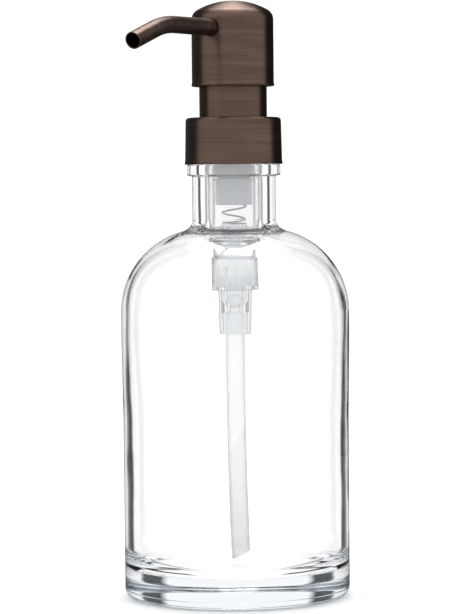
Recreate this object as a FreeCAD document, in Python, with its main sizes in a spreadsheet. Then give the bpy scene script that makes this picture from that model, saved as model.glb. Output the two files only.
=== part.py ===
import FreeCAD, Part
import math
import os

import Sketcher

# Countertop soap dispenser: a round glass bottle closed by a screw-on lotion pump with a metal-clad head.
# Millimetres. The origin is on the bottle's axis, on the surface it stands on. +Z is up, and the spout
# points along -Y. Heights are measured from that surface and radii from that axis.

SIZES = {
    # glass bottle
    "shoulder_radius": 38.3,
    "panel_radius": 37.9,
    "panel_top": 60.0,
    "swell_height": 88.0,
    "shoulder_height": 96.0,
    "shoulder_bend": 28.0,
    "heel_rounding": 3.5,
    "glass_wall": 2.9,
    "floor_height": 9.3,
    "floor_rounding": 8.0,
    "foot_ring_radius": 30.0,
    "push_up": 2.0,
    "neck_foot_radius": 17.0,
    "neck_foot_height": 127.0,
    "neck_foot_bend": 3.9,
    "neck_radius": 14.0,
    "neck_bore": 10.0,
    "bead_radius": 15.65,
    "bead_low": 141.5,
    "bead_high": 145.6,
    "bead_rounding": 0.9,
    "finish_radius": 12.5,
    "rim_height": 157.5,
    "rim_rounding": 0.45,
    # screw thread shared by the bottle finish and the closure
    "thread_pitch": 4.23,
    "thread_turns": 1.25,
    "thread_depth": 1.15,
    "thread_foot_half": 1.15,
    "thread_crest_half": 0.5,
    "thread_start": 148.0,
    "thread_bite": 0.3,
    # closure
    "closure_radius": 15.5,
    "closure_bore": 14.0,
    "closure_foot": 146.0,
    "closure_hole": 11.65,
    "closure_rounding": 0.9,
    "seat_height": 159.4,
    "collar_top": 161.1,
    "collar_wall": 0.45,
    "collar_top_radius": 16.0,
    "collar_waist_radius": 16.3,
    "collar_waist_height": 146.9,
    "collar_foot_radius": 16.5,
    "collar_foot": 145.4,
    "collar_rounding": 1.2,
    # gasket between the glass rim and the pump flange
    "gasket_high": 158.4,
    "gasket_bore": 10.4,
    "gasket_radius": 12.5,
    # pump housing
    "housing_radius": 8.75,
    "housing_bore": 7.35,
    "housing_foot": 119.5,
    "chamber_floor": 121.3,
    "flange_radius": 13.2,
    "ring_low": 120.0,
    "ring_step": 0.9,
    "groove_depth": 0.45,
    "spring_post_radius": 4.45,
    "spring_post_top": 124.8,
    "inlet_radius": 2.2,
    # valve body under the housing
    "nozzle_radius": 2.15,
    "nozzle_bore": 1.3,
    "nozzle_top": 124.6,
    "valve_neck_radius": 7.15,
    "valve_neck_foot": 114.2,
    "valve_radius": 7.75,
    "valve_foot": 103.5,
    "valve_wall": 1.2,
    "valve_port": 3.6,
    "valve_rib_count": 12,
    "valve_rib_width": 0.8,
    "valve_rib_depth": 0.6,
    "valve_rib_height": 6.5,
    # ball retainer and inlet ball
    "retainer_radius": 5.85,
    "retainer_bore": 4.8,
    "retainer_height": 3.4,
    "retainer_bar_width": 1.0,
    "retainer_bar_height": 1.2,
    "ball_radius": 2.5,
    "ball_height": 99.8,
    # connector that holds the ball seat and the dip tube
    "connector_top_radius": 5.6,
    "connector_foot_radius": 5.15,
    "connector_foot": 88.2,
    "connector_spigot": 3.55,
    "connector_spigot_top": 104.7,
    "ball_chamber": 2.9,
    "seat_cone_top": 99.9,
    "seat_cone_foot": 97.9,
    "throat_radius": 1.9,
    "socket_top": 95.8,
    # dip tube
    "dip_radius": 3.1,
    "dip_bore": 2.3,
    "dip_top": 95.7,
    "dip_straight_foot": 80.0,
    "dip_foot": 12.3,
    "dip_lean": 1.3,
    "dip_bevel": 3.6,
    # chaplet, which plugs the housing and guides the stem
    "chaplet_plug": 7.33,
    "chaplet_foot": 141.7,
    "chaplet_cup": 5.9,
    "chaplet_cup_top": 147.0,
    "guide_bore": 4.08,
    "guide_radius": 5.6,
    "guide_top": 165.0,
    "chaplet_neck_radius": 10.85,
    "chaplet_neck_wall": 1.25,
    "chaplet_floor": 161.0,
    "chaplet_top": 172.0,
    "sleeve_radius": 11.35,
    "sleeve_top": 173.5,
    "sleeve_rounding": 0.22,
    # stem, piston and return spring
    "stem_radius": 4.0,
    "stem_bore": 2.6,
    "stem_foot": 143.7,
    "stem_top": 189.4,
    "piston_radius": 6.2,
    "piston_lip": 7.3,
    "piston_lip_low": 139.9,
    "piston_lip_high": 140.7,
    "piston_foot": 131.8,
    "piston_bore": 4.7,
    "piston_hub_radius": 5.5,
    "piston_hub_bore": 4.05,
    "piston_web": 143.0,
    "piston_top": 146.0,
    "seat_disc_radius": 4.5,
    "seat_disc_low": 141.0,
    "seat_disc_high": 142.9,
    "seat_shaft_radius": 2.58,
    "seat_shaft_top": 151.0,
    "seat_flute_width": 1.6,
    "seat_flute_depth": 0.9,
    "seat_flute_count": 4,
    "spring_radius": 3.95,
    "spring_wire": 0.3,
    "spring_pitch": 4.4,
    # head
    "head_radius": 13.75,
    "head_foot_radius": 13.9,
    "head_foot": 171.5,
    "head_flare_top": 172.7,
    "head_top": 200.2,
    "head_wall": 0.6,
    "crown_bend": 24.1,
    "crown_rounding": 3.8,
    "core_radius": 13.1,
    "core_foot": 185.2,
    "core_top": 193.8,
    "hub_radius": 6.5,
    "hub_foot": 176.0,
    "hub_bore": 4.05,
    "hub_socket_top": 189.5,
    "core_port_radius": 2.2,
    # spout
    "spout_height": 190.7,
    "spout_radius": 2.85,
    "spout_wall": 0.4,
    "spout_start": 5.0,
    "spout_straight": 36.0,
    "spout_bend": 35.0,
    "spout_droop": 18.5,
    "spout_end_run": 13.3,
    "spout_gap": 0.2,
}

TUBE_LEAN_SIDE = 32.0  # degrees round +Z from +X to the side towards which the dip tube leans

doc = FreeCAD.newDocument("soap_dispenser")
sheet = doc.addObject("Spreadsheet::Sheet", "Sizes")
for row, (alias, value) in enumerate(SIZES.items(), start=1):
    sheet.set(f"A{row}", str(value))
    sheet.setAlias(f"A{row}", alias)
doc.recompute()


class Size:
    """A length that carries the spreadsheet expression it comes from beside its value."""

    def __init__(self, value, text):
        self.value = value
        self.text = text

    def join(self, other, sign, value):
        return Size(value, f"({self.text} {sign} {text_of(other)})")

    def __add__(self, other):
        return self.join(other, "+", self.value + value_of(other))

    def __sub__(self, other):
        return self.join(other, "-", self.value - value_of(other))

    def __mul__(self, other):
        return self.join(other, "*", self.value * value_of(other))

    def __truediv__(self, other):
        return self.join(other, "/", self.value / value_of(other))


def value_of(size):
    """The number behind a Size or a plain number."""
    return size.value if isinstance(size, Size) else size


def text_of(size):
    """The expression behind a Size or a plain number."""
    return size.text if isinstance(size, Size) else repr(size)


def root(size):
    """The square root of a Size."""
    return Size(math.sqrt(size.value), f"sqrt({size.text})")


class Sheet:
    """Gives each alias of the spreadsheet as a Size, as in dims.rim_height."""

    def __getattr__(self, alias):
        return Size(float(sheet.get(alias)), f"Sizes.{alias}")


dims = Sheet()


class Bend:
    """A round stretch of an outline, turning anticlockwise or clockwise about its centre."""

    def __init__(self, radius, anticlockwise=True):
        self.radius = radius
        self.anticlockwise = anticlockwise

    def curve(self, start, end):
        """The arc from start to end, drawn anticlockwise, and the places of start and end on it."""
        across = end - start
        rise = math.sqrt(value_of(self.radius) ** 2 - (across.Length / 2) ** 2)
        left = FreeCAD.Vector(-across.y, across.x, 0).normalize()
        centre = (start + end) / 2 + left * (rise if self.anticlockwise else -rise)
        first, last = (start, end) if self.anticlockwise else (end, start)
        begin = math.atan2(first.y - centre.y, first.x - centre.x)
        finish = math.atan2(last.y - centre.y, last.x - centre.x)
        if finish < begin:
            finish += 2 * math.pi
        circle = Part.Circle(centre, FreeCAD.Vector(0, 0, 1), value_of(self.radius))
        places = (1, 2) if self.anticlockwise else (2, 1)
        return Part.ArcOfCircle(circle, begin, finish), places


def sketch_on(body, role, name, lift=None):
    """A sketch on one of the body's own origin planes, moved along the plane's normal by lift."""
    sketch = body.newObject("Sketcher::SketchObject", name)
    plane = next(p for p in body.Origin.OriginFeatures if p.Role == role)
    sketch.AttachmentSupport = [(plane, "")]
    sketch.MapMode = "FlatFace"
    if lift is not None:
        sketch.AttachmentOffset = FreeCAD.Placement(
            FreeCAD.Vector(0, 0, value_of(lift)), FreeCAD.Rotation()
        )
        sketch.setExpression("AttachmentOffset.Base.z", text_of(lift))
    return sketch


def bind(sketch, constraint, size):
    """Adds a dimension and ties it to the spreadsheet."""
    index = sketch.addConstraint(constraint)
    if isinstance(size, Size):
        sketch.setExpression(f"Constraints[{index}]", size.text)


def fix_point(sketch, curve, place, point):
    """Dimensions one end of a curve from the sketch's origin; a plain 0 puts it on an axis."""
    for size, kind, axis in ((point[0], "DistanceX", -2), (point[1], "DistanceY", -1)):
        if value_of(size) == 0:
            sketch.addConstraint(Sketcher.Constraint("PointOnObject", curve, place, axis))
        else:
            rule = Sketcher.Constraint(kind, -1, 1, curve, place, value_of(size))
            bind(sketch, rule, size)


def draw(sketch, outline, closed=True):
    """Draws corners (across, up), each with an optional Bend for the stretch that leaves it."""
    spots = [FreeCAD.Vector(value_of(c[0]), value_of(c[1]), 0) for c in outline]
    count = len(outline) if closed else len(outline) - 1
    ends = []
    for i in range(count):
        start, end = spots[i], spots[(i + 1) % len(spots)]
        if len(outline[i]) > 2:
            arc, places = outline[i][2].curve(start, end)
            curve = sketch.addGeometry(arc)
        else:
            curve = sketch.addGeometry(Part.LineSegment(start, end))
            places = (1, 2)
        ends.append((curve, *places))
    for i, (curve, first, last) in enumerate(ends):
        if closed or i + 1 < count:
            after, after_first, _ = ends[(i + 1) % count]
            sketch.addConstraint(Sketcher.Constraint("Coincident", curve, last, after, after_first))
        fix_point(sketch, curve, first, outline[i])
        if len(outline[i]) > 2:
            radius = outline[i][2].radius
            bind(sketch, Sketcher.Constraint("Radius", curve, value_of(radius)), radius)
    if not closed:
        fix_point(sketch, ends[-1][0], ends[-1][2], outline[-1])


def circle_at(sketch, radius, up=0):
    """Draws a circle on the sketch's vertical axis at a height."""
    middle = FreeCAD.Vector(0, value_of(up), 0)
    curve = sketch.addGeometry(Part.Circle(middle, FreeCAD.Vector(0, 0, 1), value_of(radius)))
    fix_point(sketch, curve, 3, (0, up))
    bind(sketch, Sketcher.Constraint("Radius", curve, value_of(radius)), radius)


def box_outline(low_x, high_x, low_y, high_y):
    """The four corners of a rectangle."""
    return [(low_x, low_y), (high_x, low_y), (high_x, high_y), (low_x, high_y)]


def turned(label, outline):
    """A body turned about Z from a closed outline of (radius, height) corners."""
    body = doc.addObject("PartDesign::Body", label)
    sketch = sketch_on(body, "XZ_Plane", f"{label}_outline")
    draw(sketch, outline)
    turn = body.newObject("PartDesign::Revolution", f"{label}_turn")
    turn.Profile = sketch
    turn.ReferenceAxis = (sketch, ["V_Axis"])
    turn.Angle = 360
    doc.recompute()
    return body


def round_off(body, radius, *circles):
    """Rounds the circular edges of the body's last feature that have these (radius, height)."""
    names, base = [], body.Tip
    for number, edge in enumerate(base.Shape.Edges, start=1):
        if edge.Degenerated or not isinstance(edge.Curve, Part.Circle):
            continue
        for ring, height in circles:
            near_radius = abs(edge.Curve.Radius - value_of(ring)) < 0.01
            near_height = abs(edge.Curve.Center.z - value_of(height)) < 0.01
            if near_radius and near_height:
                names.append(f"Edge{number}")
    if len(names) < len(circles):
        raise ValueError(f"{body.Label}: found {len(names)} of {len(circles)} edges to round")
    fillet = body.newObject("PartDesign::Fillet", f"{body.Name}_rounding")
    fillet.Base = (base, names)
    fillet.Radius = value_of(radius)
    fillet.setExpression("Radius", text_of(radius))
    doc.recompute()


def bored(body, radius, height, start=None, length=None):
    """Cuts a round hole along -Y at a height, from start or the axis; without a length, right through."""
    sketch = sketch_on(body, "XZ_Plane", f"{body.Name}_bore", lift=start)
    circle_at(sketch, radius, height)
    before = body.Tip.Shape.Volume
    pocket = body.newObject("PartDesign::Pocket", f"{body.Name}_bore_cut")
    pocket.Profile = sketch
    pocket.Reversed = True
    if length is None:
        pocket.Type = "ThroughAll"
    else:
        pocket.Length = value_of(length)
        pocket.setExpression("Length", text_of(length))
    doc.recompute()
    if pocket.Shape.Volume >= before:
        raise ValueError(f"{body.Label}: the bore along -Y cut nothing")


def repeated(body, feature, count):
    """Repeats a feature round Z and makes the pattern the body's last feature."""
    ring = body.newObject("PartDesign::PolarPattern", f"{feature.Name}_ring")
    ring.Originals = [feature]
    ring.Axis = (next(a for a in body.Origin.OriginFeatures if a.Role == "Z_Axis"), [""])
    ring.Angle = 360
    ring.Occurrences = int(value_of(count))
    ring.setExpression("Occurrences", text_of(count))
    body.Tip = ring
    doc.recompute()


def threaded(body, root_radius, crest_radius, start):
    """Adds the screw thread: a ridge on the wall at root_radius, reaching to crest_radius."""
    sketch = sketch_on(body, "XZ_Plane", f"{body.Name}_ridge")
    foot, crest = dims.thread_foot_half, dims.thread_crest_half
    draw(
        sketch,
        [
            (root_radius, start - foot),
            (crest_radius, start - crest),
            (crest_radius, start + crest),
            (root_radius, start + foot),
        ],
    )
    helix = body.newObject("PartDesign::AdditiveHelix", f"{body.Name}_thread")
    helix.Profile = sketch
    helix.ReferenceAxis = (sketch, ["V_Axis"])
    helix.Mode = "pitch-turns-angle"
    helix.Pitch = dims.thread_pitch.value
    helix.setExpression("Pitch", dims.thread_pitch.text)
    helix.Turns = dims.thread_turns.value
    helix.setExpression("Turns", dims.thread_turns.text)
    doc.recompute()


def glass_bottle():
    """A thick-walled round bottle with a screw finish above a transfer bead."""
    arc_centre = dims.shoulder_radius - dims.shoulder_bend
    reach = dims.neck_foot_radius - arc_centre
    arc_end = dims.shoulder_height + root(dims.shoulder_bend * dims.shoulder_bend - reach * reach)
    inner_bend = dims.shoulder_bend - dims.glass_wall
    inner_shoulder = dims.shoulder_radius - dims.glass_wall
    inner_reach = dims.neck_bore - arc_centre
    ceiling = dims.shoulder_height + root(inner_bend * inner_bend - inner_reach * inner_reach)
    foot = dims.foot_ring_radius
    dome_bend = (foot * foot + dims.push_up * dims.push_up) / (dims.push_up * 2)
    inner_panel = dims.panel_radius - dims.glass_wall
    bottle = turned(
        "glass_bottle",
        [
            (0, dims.push_up, Bend(dome_bend, anticlockwise=False)),
            (foot, 0),
            (dims.panel_radius, 0),
            (dims.panel_radius, dims.panel_top),
            (dims.shoulder_radius, dims.swell_height),
            (dims.shoulder_radius, dims.shoulder_height, Bend(dims.shoulder_bend)),
            (dims.neck_foot_radius, arc_end, Bend(dims.neck_foot_bend, anticlockwise=False)),
            (dims.neck_radius, dims.neck_foot_height),
            (dims.neck_radius, dims.bead_low),
            (dims.bead_radius, dims.bead_low),
            (dims.bead_radius, dims.bead_high),
            (dims.finish_radius, dims.bead_high),
            (dims.finish_radius, dims.rim_height),
            (dims.neck_bore, dims.rim_height),
            (dims.neck_bore, ceiling, Bend(inner_bend, anticlockwise=False)),
            (inner_shoulder, dims.shoulder_height),
            (inner_shoulder, dims.swell_height),
            (inner_panel, dims.panel_top),
            (inner_panel, dims.floor_height),
            (0, dims.floor_height),
        ],
    )
    round_off(bottle, dims.heel_rounding, (dims.panel_radius, 0))
    round_off(bottle, dims.floor_rounding, (inner_panel, dims.floor_height))
    bead = dims.bead_radius
    round_off(bottle, dims.bead_rounding, (bead, dims.bead_low), (bead, dims.bead_high))
    rim = dims.rim_height
    round_off(bottle, dims.rim_rounding, (dims.finish_radius, rim), (dims.neck_bore, rim))
    crest = dims.finish_radius + dims.thread_depth
    threaded(bottle, dims.finish_radius - dims.thread_bite, crest, dims.thread_start)


def neck_gasket():
    """A flat ring that seals the pump on the rim."""
    turned(
        "neck_gasket",
        box_outline(dims.gasket_bore, dims.gasket_radius, dims.rim_height, dims.gasket_high),
    )


def closure_nut():
    """The moulded screw cap under the metal collar, open at the top for the pump's neck."""
    top = dims.collar_top - dims.collar_wall
    nut = turned(
        "closure_nut",
        [
            (dims.closure_bore, dims.closure_foot),
            (dims.closure_radius, dims.closure_foot),
            (dims.closure_radius, top),
            (dims.closure_hole, top),
            (dims.closure_hole, dims.seat_height),
            (dims.closure_bore, dims.seat_height),
        ],
    )
    round_off(nut, dims.closure_rounding, (dims.closure_radius, top))
    start = dims.thread_start + dims.thread_pitch / 2
    crest = dims.closure_bore - dims.thread_depth
    threaded(nut, dims.closure_bore + dims.thread_bite, crest, start)


def collar_shell():
    """The drawn metal cover over the closure, flared at its foot."""
    wall = dims.collar_wall
    shell = turned(
        "collar_shell",
        [
            (dims.collar_foot_radius - wall, dims.collar_foot),
            (dims.collar_foot_radius, dims.collar_foot),
            (dims.collar_waist_radius, dims.collar_waist_height),
            (dims.collar_top_radius, dims.collar_top),
            (dims.closure_hole, dims.collar_top),
            (dims.closure_hole, dims.collar_top - wall),
            (dims.collar_top_radius - wall, dims.collar_top - wall),
            (dims.collar_waist_radius - wall, dims.collar_waist_height),
        ],
    )
    round_off(shell, dims.collar_rounding, (dims.collar_top_radius, dims.collar_top))
    inner = dims.collar_rounding - wall
    round_off(shell, inner, (dims.collar_top_radius - wall, dims.collar_top - wall))


def pump_housing():
    """The translucent pump cylinder with its seating flange, grooved foot and hollow spring post."""
    step, groove = dims.ring_step, dims.housing_radius - dims.groove_depth
    foot, ring = dims.housing_foot, dims.ring_low
    turned(
        "pump_housing",
        [
            (dims.inlet_radius, foot),
            (groove, foot),
            (dims.housing_radius, ring),
            (dims.housing_radius, ring + step),
            (groove, ring + step * 1.5),
            (dims.housing_radius, ring + step * 2),
            (dims.housing_radius, ring + step * 3),
            (groove, ring + step * 4),
            (groove, ring + step * 5),
            (dims.housing_radius, ring + step * 8),
            (dims.housing_radius, dims.gasket_high),
            (dims.flange_radius, dims.gasket_high),
            (dims.flange_radius, dims.seat_height),
            (dims.housing_bore, dims.seat_height),
            (dims.housing_bore, dims.chamber_floor),
            (dims.spring_post_radius, dims.chamber_floor),
            (dims.spring_post_radius, dims.spring_post_top),
            (dims.inlet_radius, dims.spring_post_top),
        ],
    )


def valve_body():
    """The barrel under the housing, with a nozzle into the spring post and ribs round its lower half."""
    wall, neck = dims.valve_wall, dims.valve_neck_foot
    floor = dims.valve_foot + wall
    ceiling = dims.housing_foot - wall
    body = turned(
        "valve_body",
        [
            (dims.nozzle_bore, ceiling),
            (dims.valve_neck_radius - wall, ceiling),
            (dims.valve_neck_radius - wall, neck),
            (dims.valve_radius - wall, neck - wall / 2),
            (dims.valve_radius - wall, floor),
            (dims.valve_port, floor),
            (dims.valve_port, dims.valve_foot),
            (dims.valve_radius, dims.valve_foot),
            (dims.valve_radius, neck),
            (dims.valve_neck_radius, neck + wall / 2),
            (dims.valve_neck_radius, dims.housing_foot),
            (dims.nozzle_radius, dims.housing_foot),
            (dims.nozzle_radius, dims.nozzle_top),
            (dims.nozzle_bore, dims.nozzle_top),
        ],
    )
    inner = dims.valve_radius - wall
    half = dims.valve_rib_width / 2
    sketch = sketch_on(body, "XY_Plane", "valve_rib_outline", lift=floor)
    corners = box_outline(inner - dims.valve_rib_depth, inner + wall / 2, half, half * 3)
    draw(sketch, corners)
    rib = body.newObject("PartDesign::Pad", "valve_rib")
    rib.Profile = sketch
    rib.Length = dims.valve_rib_height.value
    rib.setExpression("Length", dims.valve_rib_height.text)
    doc.recompute()
    repeated(body, rib, dims.valve_rib_count)


def ball_retainer():
    """A ring with two crossed bars that stops the ball from rising into the valve body."""
    foot = dims.valve_foot + dims.valve_wall
    top = foot + dims.retainer_height
    body = turned(
        "ball_retainer", box_outline(dims.retainer_bore, dims.retainer_radius, foot, top)
    )
    half, reach = dims.retainer_bar_width / 2, dims.retainer_bore + dims.valve_rib_depth
    sketch = sketch_on(body, "XZ_Plane", "retainer_bar_outline")
    draw(sketch, box_outline(0, reach, foot, foot + dims.retainer_bar_height))
    bar = body.newObject("PartDesign::Pad", "retainer_bar")
    bar.Profile = sketch
    bar.Midplane = True
    bar.Length = half.value * 2
    bar.setExpression("Length", dims.retainer_bar_width.text)
    doc.recompute()
    repeated(body, bar, 4)


def inlet_ball():
    """The ball that closes the inlet."""
    ball = doc.addObject("Part::Sphere", "inlet_ball")
    ball.setExpression("Radius", dims.ball_radius.text)
    ball.Placement = FreeCAD.Placement(
        FreeCAD.Vector(0, 0, dims.ball_height.value), FreeCAD.Rotation()
    )
    ball.setExpression("Placement.Base.z", dims.ball_height.text)


def tube_connector():
    """The tapered tube that holds the ball seat above and the dip tube below."""
    turned(
        "tube_connector",
        [
            (dims.dip_radius, dims.connector_foot),
            (dims.connector_foot_radius, dims.connector_foot),
            (dims.connector_top_radius, dims.valve_foot),
            (dims.connector_spigot, dims.valve_foot),
            (dims.connector_spigot, dims.connector_spigot_top),
            (dims.ball_chamber, dims.connector_spigot_top),
            (dims.ball_chamber, dims.seat_cone_top),
            (dims.throat_radius, dims.seat_cone_foot),
            (dims.throat_radius, dims.socket_top),
            (dims.dip_radius, dims.socket_top),
        ],
    )


def piped(body, radius, bore, path, profile_role, lift, up):
    """Sweeps a round tube along the path sketch: the outside is added, then the bore is taken away."""
    for name, size, kind in (("outside", radius, "Additive"), ("bore", bore, "Subtractive")):
        profile = sketch_on(body, profile_role, f"{body.Name}_{name}", lift=lift)
        circle_at(profile, size, up)
        pipe = body.newObject(f"PartDesign::{kind}Pipe", f"{body.Name}_{name}_sweep")
        pipe.Profile = profile
        pipe.Spine = path
        doc.recompute()


def dip_tube():
    """A soft straw, straight in its socket and gently bowed below, cut at a slant at its foot."""
    body = doc.addObject("PartDesign::Body", "dip_tube")
    drop = dims.dip_straight_foot - dims.dip_foot
    bow = (drop * drop + dims.dip_lean * dims.dip_lean) / (dims.dip_lean * 2)
    path = sketch_on(body, "XZ_Plane", "dip_tube_path")
    draw(
        path,
        [
            (0, dims.dip_top),
            (0, dims.dip_straight_foot, Bend(bow)),
            (dims.dip_lean, dims.dip_foot),
        ],
        closed=False,
    )
    piped(body, dims.dip_radius, dims.dip_bore, path, "XY_Plane", dims.dip_top, 0)
    reach = dims.dip_radius + dims.dip_lean + dims.dip_bevel
    cut = sketch_on(body, "XZ_Plane", "dip_tube_slant")
    low = dims.dip_foot - dims.dip_bevel
    draw(cut, [(0, low), (reach, low), (reach, dims.dip_foot + dims.dip_bevel)])
    before = body.Tip.Shape.Volume
    pocket = body.newObject("PartDesign::Pocket", "dip_tube_slant_cut")
    pocket.Profile = cut
    pocket.Type = "ThroughAll"
    pocket.Midplane = True
    doc.recompute()
    if pocket.Shape.Volume >= before:
        raise ValueError("dip_tube: the slanted end cut nothing")
    body.Placement = FreeCAD.Placement(
        FreeCAD.Vector(), FreeCAD.Rotation(FreeCAD.Vector(0, 0, 1), TUBE_LEAN_SIDE)
    )


def chaplet():
    """The moulded plug that closes the housing, guides the stem and carries the sleeve."""
    inside = dims.chaplet_neck_radius - dims.chaplet_neck_wall
    turned(
        "chaplet",
        [
            (dims.chaplet_cup, dims.chaplet_foot),
            (dims.chaplet_plug, dims.chaplet_foot),
            (dims.chaplet_plug, dims.seat_height),
            (dims.chaplet_neck_radius, dims.seat_height),
            (dims.chaplet_neck_radius, dims.chaplet_top),
            (inside, dims.chaplet_top),
            (inside, dims.chaplet_floor),
            (dims.guide_radius, dims.chaplet_floor),
            (dims.guide_radius, dims.guide_top),
            (dims.guide_bore, dims.guide_top),
            (dims.guide_bore, dims.chaplet_cup_top),
            (dims.chaplet_cup, dims.chaplet_cup_top),
        ],
    )


def guide_sleeve():
    """The metal tube between the collar and the head."""
    sleeve = turned(
        "guide_sleeve",
        box_outline(
            dims.chaplet_neck_radius, dims.sleeve_radius, dims.seat_height, dims.sleeve_top
        ),
    )
    round_off(sleeve, dims.sleeve_rounding, (dims.sleeve_radius, dims.sleeve_top))


def stem():
    """The hollow rod that carries the head and lifts the liquid to the spout."""
    turned("stem", box_outline(dims.stem_bore, dims.stem_radius, dims.stem_foot, dims.stem_top))


def piston():
    """The sliding piston: a skirt round the spring, a sealing lip and a hub that slides on the stem."""
    lip = dims.piston_lip_high
    turned(
        "piston",
        [
            (dims.piston_bore, dims.piston_foot),
            (dims.piston_radius, dims.piston_foot),
            (dims.piston_radius, dims.piston_lip_low),
            (dims.piston_lip, dims.piston_lip_low),
            (dims.piston_lip, lip),
            (dims.piston_hub_radius, lip),
            (dims.piston_hub_radius, dims.piston_top),
            (dims.piston_hub_bore, dims.piston_top),
            (dims.piston_hub_bore, dims.piston_web),
            (dims.piston_bore, dims.piston_web),
        ],
    )


def piston_seat():
    """The fluted plug in the stem's foot: its disc closes the piston's hub and rests on the spring."""
    disc, shaft = dims.seat_disc_high, dims.seat_shaft_radius
    body = turned(
        "piston_seat",
        [
            (0, dims.seat_disc_low),
            (dims.seat_disc_radius, dims.seat_disc_low),
            (dims.seat_disc_radius, disc),
            (shaft, disc),
            (shaft, dims.seat_shaft_top),
            (0, dims.seat_shaft_top),
        ],
    )
    half = dims.seat_flute_width / 2
    sketch = sketch_on(body, "XY_Plane", "seat_flute_outline", lift=dims.seat_shaft_top)
    draw(sketch, box_outline(shaft - dims.seat_flute_depth, shaft + half, half, half * 3))
    flute = body.newObject("PartDesign::Pocket", "seat_flute")
    flute.Profile = sketch
    flute.Length = dims.seat_shaft_top.value - disc.value
    flute.setExpression("Length", (dims.seat_shaft_top - disc).text)
    doc.recompute()
    repeated(body, flute, dims.seat_flute_count)


def return_spring():
    """The compression spring between the housing's post and the piston seat."""
    body = doc.addObject("PartDesign::Body", "return_spring")
    low = dims.spring_post_top + dims.spring_wire
    high = dims.seat_disc_low - dims.spring_wire
    sketch = sketch_on(body, "XZ_Plane", "spring_wire_outline")
    centre = FreeCAD.Vector(dims.spring_radius.value, low.value, 0)
    wire = sketch.addGeometry(
        Part.Circle(centre, FreeCAD.Vector(0, 0, 1), dims.spring_wire.value)
    )
    fix_point(sketch, wire, 3, (dims.spring_radius, low))
    rule = Sketcher.Constraint("Radius", wire, dims.spring_wire.value)
    bind(sketch, rule, dims.spring_wire)
    coil = body.newObject("PartDesign::AdditiveHelix", "spring_coil")
    coil.Profile = sketch
    coil.ReferenceAxis = (sketch, ["V_Axis"])
    coil.Mode = "pitch-height-angle"
    coil.Pitch = dims.spring_pitch.value
    coil.setExpression("Pitch", dims.spring_pitch.text)
    coil.Height = high.value - low.value
    coil.setExpression("Height", (high - low).text)
    doc.recompute()


def head_shell():
    """The brushed metal cap of the head, with a low dome and a hole for the spout."""
    wall, radius, bend = dims.head_wall, dims.head_radius, dims.crown_bend
    inner, inner_bend = radius - wall, bend - wall
    top = dims.head_top
    edge = top - bend + root(bend * bend - radius * radius)
    inner_edge = top - bend + root(inner_bend * inner_bend - inner * inner)
    body = turned(
        "head_shell",
        [
            (dims.head_foot_radius - wall, dims.head_foot),
            (dims.head_foot_radius, dims.head_foot),
            (radius, dims.head_flare_top),
            (radius, edge, Bend(bend)),
            (0, top),
            (0, top - wall, Bend(inner_bend, anticlockwise=False)),
            (inner, inner_edge),
            (inner, dims.head_flare_top),
        ],
    )
    round_off(body, dims.crown_rounding, (radius, edge))
    round_off(body, dims.crown_rounding - wall, (inner, inner_edge))
    bored(body, dims.spout_radius + dims.spout_gap, dims.spout_height, dims.hub_radius)


def head_core():
    """The moulded core inside the cap: a hub for the stem and a socket for the spout."""
    body = turned(
        "head_core",
        [
            (dims.hub_bore, dims.hub_foot),
            (dims.hub_radius, dims.hub_foot),
            (dims.hub_radius, dims.core_foot),
            (dims.core_radius, dims.core_foot),
            (dims.core_radius, dims.core_top),
            (0, dims.core_top),
            (0, dims.spout_height),
            (dims.stem_bore, dims.spout_height),
            (dims.stem_bore, dims.hub_socket_top),
            (dims.hub_bore, dims.hub_socket_top),
        ],
    )
    bored(body, dims.spout_radius, dims.spout_height, dims.spout_start)
    bored(body, dims.core_port_radius, dims.spout_height, length=dims.spout_start)


def spout_tube():
    """The thin metal spout: straight out of the head, then bent gently down to an open end."""
    body = doc.addObject("PartDesign::Body", "spout_tube")
    droop = math.radians(dims.spout_droop.value)
    sine = Size(math.sin(droop), "sin(Sizes.spout_droop * 1deg)")
    cosine = Size(math.cos(droop), "cos(Sizes.spout_droop * 1deg)")
    bend_x = dims.spout_straight + dims.spout_bend * sine
    bend_z = dims.spout_height - dims.spout_bend + dims.spout_bend * cosine
    path = sketch_on(body, "XZ_Plane", "spout_path")
    draw(
        path,
        [
            (dims.spout_start, dims.spout_height),
            (dims.spout_straight, dims.spout_height, Bend(dims.spout_bend, anticlockwise=False)),
            (bend_x, bend_z),
            (bend_x + dims.spout_end_run * cosine, bend_z - dims.spout_end_run * sine),
        ],
        closed=False,
    )
    bore = dims.spout_radius - dims.spout_wall
    piped(body, dims.spout_radius, bore, path, "YZ_Plane", dims.spout_start, dims.spout_height)
    body.Placement = FreeCAD.Placement(
        FreeCAD.Vector(), FreeCAD.Rotation(FreeCAD.Vector(0, 0, 1), -90)
    )


def check_document():
    """Stops if any object failed or any sub-part has no sound solid."""
    doc.recompute()
    for item in doc.Objects:
        if {"Invalid", "Error"} & set(item.State):
            raise RuntimeError(f"{item.Label} failed: {item.State}")
    for item in sub_parts():
        shape = item.Shape
        if shape.isNull() or not shape.isValid() or len(shape.Solids) != 1:
            raise RuntimeError(f"{item.Label} has no single sound solid")


def sub_parts():
    """The objects that are sub-parts: every body and the ball."""
    kinds = ("PartDesign::Body", "Part::Sphere")
    return [item for item in doc.Objects if item.TypeId in kinds]


for build in (
    glass_bottle,
    neck_gasket,
    closure_nut,
    collar_shell,
    pump_housing,
    valve_body,
    ball_retainer,
    inlet_ball,
    tube_connector,
    dip_tube,
    chaplet,
    guide_sleeve,
    stem,
    piston,
    piston_seat,
    return_spring,
    head_shell,
    head_core,
    spout_tube,
):
    build()

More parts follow.
